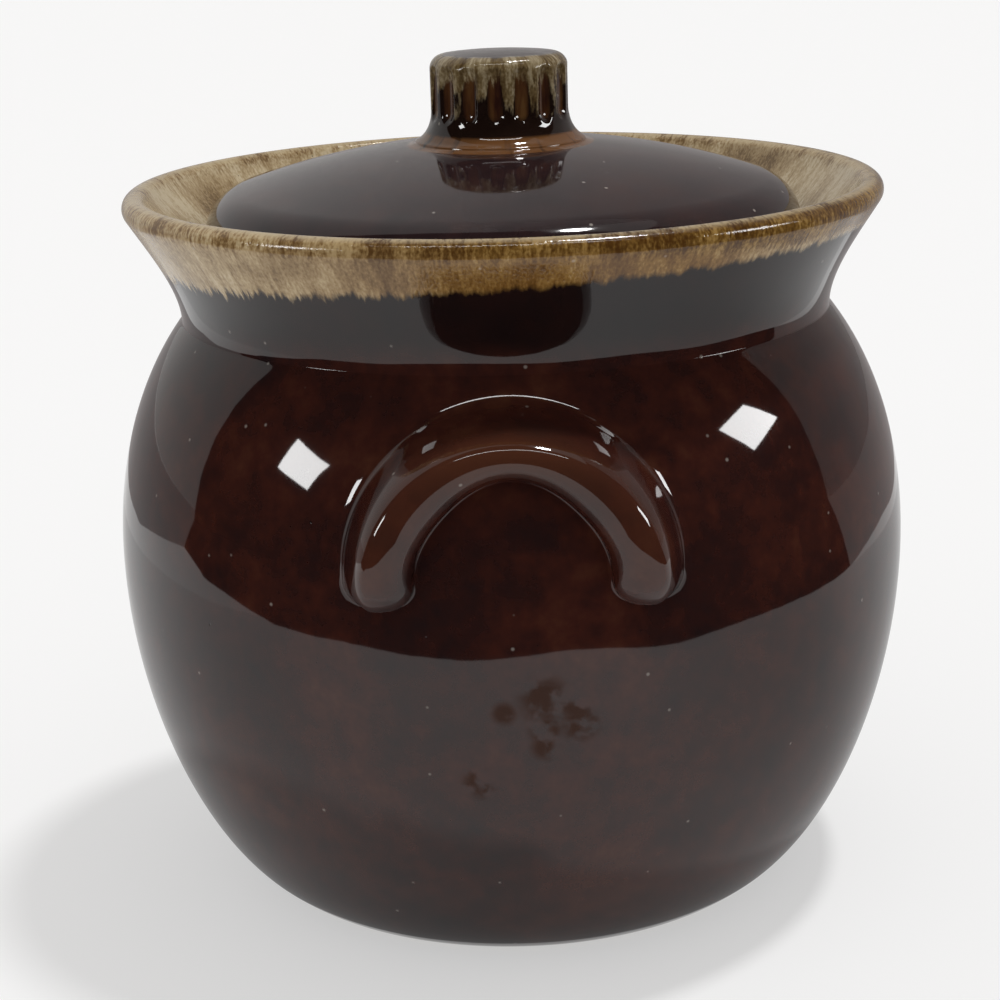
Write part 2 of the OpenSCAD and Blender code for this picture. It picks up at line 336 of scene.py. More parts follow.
heel, belly, neck = np.array((FOOT_R, 0)), np.array((BELLY_R, BELLY_H)), np.array((NECK_R, NECK_H))
up = np.array((0, 1))
heel_way = np.array((math.cos(HEEL_ANGLE), math.sin(HEEL_ANGLE)))
flare_way = np.array((math.sin(FLARE_ANGLE), math.cos(FLARE_ANGLE)))
flare_out = np.array((flare_way[1], -flare_way[0]))
bead = np.array((RIM_R - RIM_T / 2, RIM_H - RIM_T / 2))
flare_end, flare_start = bead + RIM_T / 2 * flare_out, bead - RIM_T / 2 * flare_out

lower_wall = curve(heel, heel + HEEL_PULL * heel_way, belly - LOWER_FULLNESS * up, belly, WALL_STEPS)
upper_wall = curve(belly, belly + UPPER_FULLNESS * up, neck - NECK_TUCK * up, neck, WALL_STEPS)
flare = curve(neck, neck + FLARE_RISE * up, flare_end - FLARE_PULL * flare_way, flare_end, 36)
outer_wall = join(lower_wall, upper_wall, flare)
rim = arc(bead, RIM_T / 2, -FLARE_ANGLE, math.pi - FLARE_ANGLE, 20)
gallery = curve(flare_start, flare_start - GALLERY_RISE * flare_way,
                (GALLERY_R, SEAT_H + GALLERY_RISE), (GALLERY_R, SEAT_H + BREAK_R), 24)

slope = np.gradient(join(lower_wall, upper_wall), axis=0)
slope /= np.linalg.norm(slope, axis=1)[:, None]
cavity = join(lower_wall, upper_wall) + WALL * np.stack([-slope[:, 1], slope[:, 0]], axis=1)
ledge_r = GALLERY_R - LEDGE_W
cavity = cavity[(cavity[:, 1] > FLOOR_H + CORNER_RISE) & (cavity[:, 1] < SEAT_H - LEDGE_T - LEDGE_W)]
corner_way = (cavity[1] - cavity[0]) / np.linalg.norm(cavity[1] - cavity[0])
floor_corner = curve((cavity[0][0] - 2 * CORNER_RISE, FLOOR_H), (cavity[0][0] - CORNER_RISE, FLOOR_H),
                     cavity[0] - CORNER_RISE / 2 * corner_way, cavity[0], 12)
ledge = rounded(np.array(((GALLERY_R, SEAT_H + BREAK_R), (GALLERY_R, SEAT_H), (ledge_r, SEAT_H),
                          (ledge_r, SEAT_H - LEDGE_T), cavity[-1], cavity[-2])), BREAK_R)
hollow_r = FOOT_R - FOOT_RING_W
foot = rounded(np.array(((0, FOOT_HOLLOW), (hollow_r - FOOT_HOLLOW, FOOT_HOLLOW),
                         (hollow_r, 0), (FOOT_R, 0), tuple(lower_wall[HEEL_CUT]))), BREAK_R)
under = np.linspace((0, FOOT_HOLLOW), foot[1], 12)
inside_floor = np.linspace(floor_corner[0], (0, FLOOR_H), 16)

pot_outline = join(under, foot[1:-1], outer_wall[HEEL_CUT:], rim, gallery, ledge[1:-2], cavity[::-1][1:],
                   floor_corner[::-1], inside_floor)

WELD = 2e-3 * MM
NO_REACH = 1e-6


def lathe_tree():
    """Geometry nodes that turn an outline round the Z axis, as a potter's wheel or a mould does.

    The outline is a chain of points, x out from the axis and z up. Flutes are upright scoops with
    round ends. Each point also keeps its distance along the outline in the attribute run, and how
    deep it lies in a flute, from 0 to 1, in the attribute hollow.
    """
    tree = bpy.data.node_groups.new("turned_ware", "GeometryNodeTree")
    face = tree.interface
    face.new_socket("Outline", in_out="INPUT", socket_type="NodeSocketGeometry")
    for name, kind in (("Around", "Int"), ("Flutes", "Int"), ("Knob Radius", "Float"),
                       ("Scoop Radius", "Float"), ("Scoop Depth", "Float"), ("Scoop Start", "Float"),
                       ("Scoop Stop", "Float"), ("Turn", "Float"), ("Ridge Softness", "Float"),
                       ("Glaze", "Material")):
        face.new_socket(name, in_out="INPUT", socket_type="NodeSocket" + kind)
    face.new_socket("Ware", in_out="OUTPUT", socket_type="NodeSocketGeometry")
    add, link, step = tree.nodes.new, tree.links.new, partial(math_step, tree)
    given, result = add("NodeGroupInput").outputs, add("NodeGroupOutput").inputs

    size = add("GeometryNodeAttributeDomainSize")
    link(given["Outline"], size.inputs["Geometry"])
    rows = size.outputs["Point Count"]
    grid = add("GeometryNodeMeshGrid")
    grid.inputs["Size X"].default_value = grid.inputs["Size Y"].default_value = 1
    link(step("ADD", given["Around"], 1), grid.inputs["Vertices X"])
    link(rows, grid.inputs["Vertices Y"])
    place = add("ShaderNodeSeparateXYZ")
    link(add("GeometryNodeInputPosition").outputs[0], place.inputs[0])
    angle = step("MULTIPLY", step("ADD", place.outputs["X"], 0.5), math.tau)
    row = step("MULTIPLY", step("ADD", place.outputs["Y"], 0.5), step("SUBTRACT", rows, 1))
    row = step("ROUND", row)

    def sampled(kind, value):
        """The value that the outline holds at this row."""
        sample = add("GeometryNodeSampleIndex")
        sample.data_type = kind
        link(given["Outline"], sample.inputs["Geometry"])
        link(value, sample.inputs["Value"])
        link(row, sample.inputs["Index"])
        return sample.outputs[0]

    outline = add("ShaderNodeSeparateXYZ")
    link(sampled("FLOAT_VECTOR", add("GeometryNodeInputPosition").outputs[0]), outline.inputs[0])
    out, height = outline.outputs["X"], outline.outputs["Z"]

    turn = step("DIVIDE", math.tau, given["Flutes"])
    half_turn = step("DIVIDE", turn, 2)
    off = step("WRAP", step("SUBTRACT", angle, given["Turn"]), half_turn, step("MULTIPLY", half_turn, -1))
    axis = step("ADD", step("SUBTRACT", given["Knob Radius"], given["Scoop Depth"]), given["Scoop Radius"])
    above = step("MAXIMUM", step("SUBTRACT", height, given["Scoop Stop"]), 0)
    below = step("MAXIMUM", step("SUBTRACT", given["Scoop Start"], height), 0)
    past = step("ADD", above, below)
    aside = step("MULTIPLY", axis, step("SINE", off))
    reach = step("SUBTRACT", step("POWER", given["Scoop Radius"], 2),
                 step("ADD", step("POWER", past, 2), step("POWER", aside, 2)))
    reach = step("SQRT", step("MAXIMUM", reach, 0))
    # Outside the flutes the scoop is put out of the way, past the knob
    scoop = step("SUBTRACT", step("MULTIPLY", axis, step("COSINE", off)), reach)
    scoop = step("ADD", scoop, step("LESS_THAN", reach, NO_REACH))
    fluted = step("SMOOTH_MIN", out, scoop, given["Ridge Softness"])
    has_flutes = step("GREATER_THAN", given["Flutes"], 1)
    radius = add("ShaderNodeMix")
    radius.data_type = "FLOAT"
    link(has_flutes, radius.inputs["Factor"])
    link(out, radius.inputs["A"])
    link(fluted, radius.inputs["B"])
    radius = radius.outputs["Result"]
    hollowed = step("DIVIDE", step("SUBTRACT", out, radius), given["Scoop Depth"], clamp=True)

    point = add("ShaderNodeCombineXYZ")
    link(step("MULTIPLY", radius, step("COSINE", angle)), point.inputs["X"])
    link(step("MULTIPLY", radius, step("SINE", angle)), point.inputs["Y"])
    link(height, point.inputs["Z"])

    run_value = add("GeometryNodeInputNamedAttribute")
    run_value.data_type = "FLOAT"
    run_value.inputs["Name"].default_value = "run"
    ware = grid.outputs["Mesh"]
    for name, value in (("run", sampled("FLOAT", run_value.outputs["Attribute"])), ("hollow", hollowed)):
        keep = add("GeometryNodeStoreNamedAttribute")
        keep.data_type, keep.domain = "FLOAT", "POINT"
        keep.inputs["Name"].default_value = name
        link(ware, keep.inputs["Geometry"])
        link(value, keep.inputs["Value"])
        ware = keep.outputs["Geometry"]
    move = add("GeometryNodeSetPosition")
    link(ware, move.inputs["Geometry"])
    link(point.outputs[0], move.inputs["Position"])
    weld = add("GeometryNodeMergeByDistance")
    weld.inputs["Distance"].default_value = WELD
    link(move.outputs["Geometry"], weld.inputs["Geometry"])
    smooth = add("GeometryNodeSetShadeSmooth")
    link(weld.outputs["Geometry"], smooth.inputs["Geometry"])
    real = add("GeometryNodeRealizeInstances")
    link(smooth.outputs["Geometry"], real.inputs["Geometry"])
    coat = add("GeometryNodeSetMaterial")
    link(real.outputs["Geometry"], coat.inputs["Geometry"])
    link(given["Glaze"], coat.inputs["Material"])
    link(coat.outputs["Geometry"], result["Ware"])
    return tree


LATHE = lathe_tree()


def turned(name, outline, run, glaze, around, **flutes):
    """A mesh piece turned from an outline of (radius, height) points, with its glaze."""
    chain = bpy.data.meshes.new(name + "_outline")
    chain.from_pydata([(r, 0, z) for r, z in outline], [(i, i + 1) for i in range(len(outline) - 1)], [])
    chain.attributes.new("run", "FLOAT", "POINT").data.foreach_set("value", np.asarray(run, np.float32))
    blank = bpy.data.objects.new(name + "_blank", chain)
    scene.collection.objects.link(blank)
    wheel = blank.modifiers.new("wheel", "NODES")
    wheel.node_group = LATHE
    values = {"Around": around, "Flutes": 0, "Glaze": glaze, **flutes}
    for item in LATHE.interface.items_tree:
        if item.name in values:
            wheel[item.identifier] = values[item.name]
    ready = blank.evaluated_get(bpy.context.evaluated_depsgraph_get())
    mesh = bpy.data.meshes.new_from_object(ready)
    bpy.data.objects.remove(blank)
    mesh.name = name
    piece = bpy.data.objects.new(name, mesh)
    scene.collection.objects.link(piece)
    return piece


def along(outline, start):
    """Distance of each point of an outline from the point with index start, along the outline."""
    walked = np.concatenate([[0], np.cumsum(np.linalg.norm(np.diff(outline, axis=0), axis=1))])
    return walked - walked[start]


def noise(tree, place, scale, detail=2.0, rough=0.5):
    """A cloudy value from 0 to 1 at a place. The scale is one number, or one for each direction."""
    if isinstance(scale, tuple):
        stretch = tree.nodes.new("ShaderNodeVectorMath")
        stretch.operation = "MULTIPLY"
        tree.links.new(place, stretch.inputs[0])
        stretch.inputs[1].default_value = scale
        place, scale = stretch.outputs[0], 1
    cloud = tree.nodes.new("ShaderNodeTexNoise")
    tree.links.new(place, cloud.inputs["Vector"])
    cloud.inputs["Scale"].default_value = scale
    cloud.inputs["Detail"].default_value = detail
    cloud.inputs["Roughness"].default_value = rough
    return cloud.outputs["Fac"]


def eased(tree, value, low, high):
    """0 at low and 1 at high, with a smooth step between them. Low may be the larger one."""
    step = tree.nodes.new("ShaderNodeMapRange")
    step.interpolation_type = "SMOOTHSTEP"
    for name, given in (("Value", value), ("From Min", low), ("From Max", high)):
        if isinstance(given, bpy.types.NodeSocket):
            tree.links.new(given, step.inputs[name])
        else:
            step.inputs[name].default_value = given
    return step.outputs[0]


def tinted(tree, value, *stops):
    """The colour that a value picks from a row of (value, colour) stops."""
    row = tree.nodes.new("ShaderNodeValToRGB")
    marks = row.color_ramp.elements
    marks[0].position, marks[0].color = stops[0][0], (*stops[0][1], 1)
    marks[1].position, marks[1].color = stops[-1][0], (*stops[-1][1], 1)
    for at, colour in stops[1:-1]:
        marks.new(at).color = (*colour, 1)
    tree.links.new(value, row.inputs[0])
    return row.outputs[0]


def blended(tree, factor, first, second):
    """The first colour where the factor is 0, and the second where it is 1."""
    mix = tree.nodes.new("ShaderNodeMix")
    mix.data_type = "RGBA"
    tree.links.new(factor, mix.inputs["Factor"])
    colours = [socket for socket in mix.inputs if socket.type == "RGBA"]
    for socket, colour in zip(colours, (first, second)):
        if isinstance(colour, tuple):
            socket.default_value = (*colour, 1)
        else:
            tree.links.new(colour, socket)
    return next(socket for socket in mix.outputs if socket.type == "RGBA")


def effect(name, inputs, outputs):
    """An empty shader group, as (tree, the values it is given, its results)."""
    tree = bpy.data.node_groups.new(name, "ShaderNodeTree")
    for way, sockets in (("INPUT", inputs), ("OUTPUT", outputs)):
        for label, kind in sockets:
            tree.interface.new_socket(label, in_out=way, socket_type="NodeSocket" + kind)
    return tree, tree.nodes.new("NodeGroupInput").outputs, tree.nodes.new("NodeGroupOutput").inputs


def use(tree, group, **given):
    """A group placed in a material, with its inputs set by name. Returns its outputs."""
    node = tree.nodes.new("ShaderNodeGroup")
    node.node_tree = group
    for name, value in given.items():
        socket = node.inputs[name.replace("_", " ").title()]
        if isinstance(value, bpy.types.NodeSocket):
            tree.links.new(value, socket)
        else:
            socket.default_value = value
    return node.outputs


def sums(tree):
    """Adding, taking away and multiplying in a tree."""
    return [partial(math_step, tree, operation) for operation in ("ADD", "SUBTRACT", "MULTIPLY")]


def scaled(tree, value, centre, factor):
    """How far a value lies from a centre, times a factor."""
    return math_step(tree, "MULTIPLY", math_step(tree, "SUBTRACT", value, centre), factor)


def weighted(tree, *parts):
    """The sum of some (value, weight) parts."""
    total = 0
    for value, weight in parts:
        total = math_step(tree, "ADD", total, math_step(tree, "MULTIPLY", value, weight))
    return total


# Dots in the glaze: the scale of their cells, the reach of a dot, and the share of cells without one
DOTS = (("Specks", 230, 0.12, 0.80), ("Pits", 130, 0.045, 0.62))
# Slow waves in its surface: their scale, and their height in millimetres
WAVES = ((38, 0.18), (120, 0.018), (260, 0.004))
# Streaks, on a ring in millimetres: the scale round it (twice) and down, and the detail
STREAK_KINDS = (("Fine", (1.1, 1.1, 0.24), 3), ("Broad", (0.34, 0.34, 0.08), 2),
                ("Patch", (0.10, 0.10, 0.11), 1), ("Grain", (1.9, 1.9, 1.2), 3))
NEAR_AXIS = 0.1 * MM


def ground_effect():
    """What every glaze here shares: cloudy mottling, slow waves in the surface, pinholes and specks."""
    tree, given, result = effect("glaze_ground", [("Place", "Vector")],
                                 [(name, "Float") for name in ("Mottle", "Height", "Specks", "Pits")])
    place = given["Place"]
    cloud, fleck = noise(tree, place, 34, 4, 0.6), noise(tree, place, 170, 3, 0.65)
    tree.links.new(weighted(tree, (cloud, 0.6), (fleck, 0.4)), result["Mottle"])
    for output, scale, size, share in DOTS:
        cells = tree.nodes.new("ShaderNodeTexVoronoi")
        cells.inputs["Scale"].default_value = scale
        tree.links.new(place, cells.inputs["Vector"])
        lot = tree.nodes.new("ShaderNodeSeparateColor")
        tree.links.new(cells.outputs["Color"], lot.inputs[0])
        dot = eased(tree, cells.outputs["Distance"], size, size / 3)
        chosen = math_step(tree, "GREATER_THAN", lot.outputs[0], share)
        tree.links.new(math_step(tree, "MULTIPLY", dot, chosen), result[output])
    height = 0
    for scale, tall in WAVES:
        height = math_step(tree, "ADD", height, scaled(tree, noise(tree, place, scale, 1), 0.5, tall))
    tree.links.new(height, result["Height"])
    return tree


def streak_effect():
    """Streaks that run with gravity: fine and broad ones, the patches they bunch into, and grain.

    The place is put on a ring of radius Girth, so that the streaks have no seam, and Run is the way
    down the wall. Both are in millimetres.
    """
    tree, given, result = effect("glaze_streaks", [("Place", "Vector"), ("Run", "Float"), ("Girth", "Float")],
                                 [(name, "Float") for name in ("Fine", "Broad", "Patch", "Grain",
                                                               "Side", "Radius", "Height")])
    at = tree.nodes.new("ShaderNodeSeparateXYZ")
    tree.links.new(given["Place"], at.inputs[0])
    squares = [math_step(tree, "MULTIPLY", at.outputs[axis], at.outputs[axis]) for axis in "XY"]
    radius = math_step(tree, "SQRT", math_step(tree, "ADD", *squares))
    radius = math_step(tree, "MAXIMUM", radius, NEAR_AXIS)
    sides = [math_step(tree, "DIVIDE", at.outputs[axis], radius) for axis in "XY"]
    ring = tree.nodes.new("ShaderNodeCombineXYZ")
    for side, axis in zip(sides, "XY"):
        tree.links.new(math_step(tree, "MULTIPLY", side, given["Girth"]), ring.inputs[axis])
    tree.links.new(given["Run"], ring.inputs["Z"])
    for output, scale, detail in STREAK_KINDS:
        tree.links.new(noise(tree, ring.outputs[0], scale, detail), result[output])
    tree.links.new(sides[0], result["Side"])
    tree.links.new(math_step(tree, "DIVIDE", radius, MM), result["Radius"])
    tree.links.new(math_step(tree, "DIVIDE", at.outputs["Z"], MM), result["Height"])
    return tree


GROUND = ground_effect()
STREAKS = streak_effect()


def object_place(tree):
    """The place on the piece, in metres."""
    return tree.nodes.new("ShaderNodeTexCoord").outputs["Object"]


def kept_value(tree, name):
    """A value that the mesh keeps at its points."""
    value = tree.nodes.new("ShaderNodeAttribute")
    value.attribute_name = name
    return value.outputs["Fac"]


def relief(tree, shader, height):
    """Bumps of a height in millimetres."""
    bump = tree.nodes.new("ShaderNodeBump")
    bump.inputs["Distance"].default_value = MM
    tree.links.new(height, bump.inputs["Height"])
    tree.links.new(bump.outputs["Normal"], shader.inputs["Normal"])


def near(tree, place, spot, reach):
    """1 at a spot on the ware, fading to 0 at a reach from it."""
    away = tree.nodes.new("ShaderNodeVectorMath")
    away.operation = "DISTANCE"
    tree.links.new(place, away.inputs[0])
    away.inputs[1].default_value = tuple(value * MM for value in spot)
    return eased(tree, away.outputs["Value"], reach * MM, reach / 3 * MM)


DARK_GLAZE = ((0.34, (0.014, 0.0075, 0.0078)), (0.47, (0.026, 0.0088, 0.0074)),
              (0.57, (0.042, 0.0118, 0.0082)), (0.68, (0.064, 0.021, 0.012)))
# Thin glaze on the lugs' ridges, with a painted reflection of the pale table
RIDGE_BREAK_AND_SHEEN = (0.068, 0.023, 0.012)
STAIN = (0.038, 0.0125, 0.0055)
# Painted shade under the flare, where it overhangs the neck
FLARE_SHADE_COLOUR = (0.0055, 0.0040, 0.0042)
SPECK = (0.55, 0.51, 0.46)
PIT = (0.006, 0.004, 0.004)
BARE_CLAY = (0.52, 0.42, 0.31)
CLAY_GRAIN = (0.36, 0.27, 0.18)
# The foam is creamier at the left of the front handle, and browner at the right
CREAM_STREAKS = ((0.0, (0.170, 0.103, 0.042)), (0.3, (0.330, 0.226, 0.110)),
                 (0.65, (0.490, 0.365, 0.205)), (1.0, (0.660, 0.545, 0.360)))
BROWN_STREAKS = ((0.0, (0.090, 0.038, 0.008)), (0.4, (0.170, 0.084, 0.021)),
                 (0.75, (0.265, 0.148, 0.042)), (1.0, (0.400, 0.262, 0.105)))
CREAM_RIM = ((0.0, (0.155, 0.085, 0.032)), (0.4, (0.360, 0.240, 0.112)), (1.0, (0.600, 0.480, 0.290)))
OCHRE_RIM = ((0.0, (0.072, 0.030, 0.006)), (0.5, (0.165, 0.086, 0.019)), (1.0, (0.330, 0.200, 0.060)))
FOAM_LIP = (0.480, 0.380, 0.230)
# Where the glaze is stained, and where the lip is nicked: a spot in millimetres, and its reach
STAINS = (((12, -87.8, 67.8), 5.5), ((12.3, -87.4, 63.6), 5.5), ((5.6, -88, 62.4), 4.5),
          ((5.5, -87.5, 58.8), 4), ((5.5, -88.4, 69), 7), ((-2.5, -88.5, 66.4), 3.4), ((-7.5, -86, 50.8), 5))
STAIN_GRAIN, STAIN_ROUGHNESS, STAIN_DULL = 190, 0.25, 0.32
NICK = ((-60, -49.5, 157), 4.2)
NICK_GRAIN, NICK_DEPTH = 420, 0.5
DARK_STREAKS = (((58, 45, 152), 17), ((-62, 28, 152), 14))
STREAK_GIRTH = 80
# In millimetres down from the lip: where shade is painted dark under the flare, the depth of the rim
# dip, which leans and sags from side to side and is greater inside, the length of its tails, and how
# softly it ends
FLARE_SHADE_FROM, FLARE_SHADE_TO, FLARE_SHADE_SHARE = 32, 25, 0.8
DIP_DEPTH, DIP_LEAN, DIP_SAG, DIP_INSIDE = 13, -4.8, 2.1, 22
TAILS, TAILS_AT_LEFT, BROAD_TAILS = 1.6, 5, 4
DIP_END = (-0.9, 1.1)
RIM_BAND, RIM_BAND_AT_RIGHT, RIM_BAND_INSIDE = (3.4, 6.6), 4.4, 2.2
LIP_BAND, LIP_SHARE = (2.4, 0.8), 0.8
# Bare clay: heights on the foot and the ledge, and the ledge's outer radius, in millimetres
FOOT_BARE = (1.1, 0.7)
LEDGE_BARE_TOP, LEDGE_BARE_UNDER, LEDGE_BARE_R = (137.5, 137.2), (136.2, 136.6), (68.5, 68.0)
CLAY_SCALE, CLAY_ROUGHNESS = 700, 0.7
GLAZE_ROUGHNESS, FOAM_ROUGHNESS, PIT_DEPTH = 0.04, 0.22, 0.05


def bare_clay(tree, place):
    """The colour of the bare stoneware, which is a little grainy."""
    return blended(tree, eased(tree, noise(tree, place, CLAY_SCALE, 3), 0.4, 0.65), BARE_CLAY, CLAY_GRAIN)


def ware_glaze():
    """The pot's glaze: dark and glossy, with the foaming rim dip that streaks down from the lip."""
    material, tree, shader = new_material("ware_glaze", GLAZE_ROUGHNESS)
    add, take, times = sums(tree)
    most = partial(math_step, tree, "MAXIMUM")
    place, run = object_place(tree), math_step(tree, "DIVIDE", kept_value(tree, "run"), MM)
    ground = use(tree, GROUND, place=place)
    streaks = use(tree, STREAKS, place=place, run=run, girth=STREAK_GIRTH)
    fine, broad, patch, grain, side = (streaks[name] for name in ("Fine", "Broad", "Patch", "Grain", "Side"))

    colour = tinted(tree, ground["Mottle"], *DARK_GLAZE)
    # On the lugs: thin reddish glaze along the ridge, with a painted reflection of the pale table
    colour = blended(tree, kept_value(tree, "break_and_sheen"), colour, RIDGE_BREAK_AND_SHEEN)
    stain = 0
    for spot, reach in STAINS:
        stain = most(stain, near(tree, place, spot, reach))
    stain = times(stain, eased(tree, noise(tree, place, STAIN_GRAIN, 3), 0.40, 0.54))
    colour = blended(tree, stain, colour, STAIN)

    # Painted shade: the glaze is darkened under the flare, between the foam and the neck
    flare_shade = times(eased(tree, run, FLARE_SHADE_FROM, FLARE_SHADE_TO), math_step(tree, "GREATER_THAN", run, 0))
    colour = blended(tree, times(flare_shade, FLARE_SHADE_SHARE), colour, FLARE_SHADE_COLOUR)

    # The rim dip: its line leans, and lies lower at the left than at the right
    depth = math_step(tree, "ABSOLUTE", run)
    line = add(add(DIP_DEPTH, times(side, DIP_LEAN)), times(times(side, side), DIP_SAG))
    line = most(line, times(math_step(tree, "LESS_THAN", run, 0), DIP_INSIDE))
    left = eased(tree, side, 0.0, -0.8)
    tails = add(TAILS, times(left, TAILS_AT_LEFT))
    line = add(line, add(times(take(fine, 0.5), tails), scaled(tree, broad, 0.5, BROAD_TAILS)))
    cover = eased(tree, take(line, depth), *DIP_END)

    mixed = weighted(tree, (fine, 0.34), (broad, 0.28), (grain, 0.38))
    mixed = add(mixed, scaled(tree, patch, 0.5, 0.40))
    # Inside the rim the foam is painted paler and creamier: painted light against the shade inside the rim
    inside = eased(tree, run, 0.4, -1.0)
    share = add(eased(tree, mixed, 0.25, 0.75), times(inside, 0.25))
    for spot, reach in DARK_STREAKS:
        share = take(share, times(near(tree, place, spot, reach), add(0.1, fine)))
    pale = most(left, inside)
    wall_pale = most(pale, eased(tree, side, 0.45, 0.80))
    rim_share = add(weighted(tree, (grain, 0.5), (fine, 0.5)), scaled(tree, patch, 0.5, 0.5))
    rim_share = eased(tree, rim_share, 0.32, 0.68)
    rim_foam = blended(tree, pale, tinted(tree, rim_share, *OCHRE_RIM), tinted(tree, rim_share, *CREAM_RIM))
    brown, cream = tinted(tree, share, *BROWN_STREAKS), tinted(tree, share, *CREAM_STREAKS)
    wall_foam = blended(tree, wall_pale, brown, cream)
    right = eased(tree, side, 0.15, 0.80)
    edge = add(add(depth, scaled(tree, mixed, 0.5, 4)), times(inside, RIM_BAND_INSIDE))
    edge = take(edge, times(times(right, RIM_BAND_AT_RIGHT), take(1, inside)))
    foam = blended(tree, eased(tree, edge, *RIM_BAND), rim_foam, wall_foam)
    lip = times(eased(tree, depth, *LIP_BAND), eased(tree, mixed, 0.30, 0.54))
    foam = blended(tree, times(lip, LIP_SHARE), foam, FOAM_LIP)
    colour = blended(tree, cover, colour, foam)

    nick = times(near(tree, place, *NICK), eased(tree, noise(tree, place, NICK_GRAIN, 2), 0.40, 0.56))
    colour = blended(tree, nick, colour, STAIN)
    colour = blended(tree, times(ground["Specks"], 0.3), colour, SPECK)
    colour = blended(tree, ground["Pits"], colour, PIT)

    # Bare clay where the pot stands, and on the ledge that carries the lid
    height = streaks["Height"]
    ledge_bare = times(eased(tree, height, *LEDGE_BARE_TOP), eased(tree, height, *LEDGE_BARE_UNDER))
    ledge_bare = times(ledge_bare, eased(tree, streaks["Radius"], *LEDGE_BARE_R))
    bare = most(eased(tree, height, *FOOT_BARE), ledge_bare)
    tree.links.new(blended(tree, bare, colour, bare_clay(tree, place)), shader.inputs["Base Color"])

    rough = add(times(cover, scaled(tree, grain, 0.2, FOAM_ROUGHNESS)), GLAZE_ROUGHNESS)
    rough = add(rough, add(times(bare, CLAY_ROUGHNESS), times(stain, STAIN_ROUGHNESS)))
    tree.links.new(rough, shader.inputs["Roughness"])
    tree.links.new(take(0.5, times(stain, STAIN_DULL)), shader.inputs["Specular IOR Level"])
    bumps = add(ground["Height"], times(cover, scaled(tree, mixed, 0.3, 0.14)))
    bumps = take(take(bumps, times(ground["Pits"], PIT_DEPTH)), times(nick, NICK_DEPTH))
    relief(tree, shader, bumps)
    return material


WARE_GLAZE = ware_glaze()
crest = int(np.argmax(pot_outline[:, 1]))
body_piece = turned("stoneware_body", pot_outline, -along(pot_outline, crest), WARE_GLAZE, BODY_AROUND)
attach(body_piece, "pot")
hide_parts("pot_body")


# ---------------------------------------------------------------------------------------------
# Handles: two solid stoneware lugs, each pressed as an arch with its legs pointing down and luted
# to the shoulder with slip, so the outside edge sweeps into the wall. The glaze breaks thin and
# reddish along the ridge, and a painted reflection of the pale table makes it paler and redder
# there, most at the top of the arch.
ARCH_R, ARCH_H = 26.4 * MM, 93.5 * MM
LEG, TOE = 0.5 * MM, 6 * MM
HALF_WIDTH = 7.2 * MM
TOP_NARROWER, TOP_WIDER_INSIDE, HIP_WIDER_INSIDE = 1.4 * MM, 0.2 * MM, 1.1 * MM
LUG_OUT = 11.9 * MM
SINK_TOP = 104 * MM
SINK_SHAPE = 1.8
RIDGE_AT_LEG, RIDGE_AT_TOP = 1.8 * MM, -0.3 * MM
SWEEP_REACH, SWEEP_RISE = 0.80, 0.13
CROWN_OUTSIDE, CROWN_INSIDE, INSIDE_RISE = 0.5, 0.45, 0.5
LUTE_FILLET, LUTE_DEPTH = 1.2 * MM, 0.4 * MM
SWEEP_BEND = 1.7
# The ridge's thin glaze with its painted reflection: where it starts out from the wall, how it grows, and its
# share at the legs
RIDGE_SHEEN_FROM, RIDGE_SHEEN_SHAPE, RIDGE_SHEEN_AT_LEG = 0.35, 1.5, 0.5
ARCH_STATIONS, LEG_STATIONS = 110, 18

wall_z, wall_r = outer_wall[:, 1], outer_wall[:, 0]


def lug_section(outside, inside, out, ridge):
    """Half of a loaf: (across, out) points from the outside sweep over the ridge to the inside fillet."""
    top = np.array((ridge, out))
    foot_out, foot_in = min(LUTE_FILLET, out / 3), min(LUTE_FILLET, outside / 4)
    sweep = curve((outside, 0), (outside * SWEEP_REACH + ridge * (1 - SWEEP_REACH), out * SWEEP_RISE),
                  top + ((outside - ridge) * CROWN_OUTSIDE, 0), top, 34)
    bend = curve((outside + foot_in * SWEEP_BEND, -LUTE_DEPTH / 8), (outside + foot_in / 2, 0),
                 (sweep[0] + sweep[3]) / 2, sweep[6], 10)
    sweep = np.vstack([bend, sweep[7:]])
    steep = curve(top, top - ((inside + ridge) * CROWN_INSIDE, 0), (-inside, out * INSIDE_RISE),
                  (-inside, foot_out), 26)
    fillet = curve((-inside, foot_out), (-inside, foot_out / 3), (-inside - foot_in / 3, 0),
                   (-inside - foot_in, -LUTE_DEPTH / 8), 7)
    back = [(-inside - foot_in, -LUTE_DEPTH), (-inside / 2, -LUTE_DEPTH), (0, -LUTE_DEPTH),
            (outside / 2, -LUTE_DEPTH), (outside + foot_in * SWEEP_BEND, -LUTE_DEPTH)]
    return np.vstack([sweep, steep[1:], fillet[1:], back])


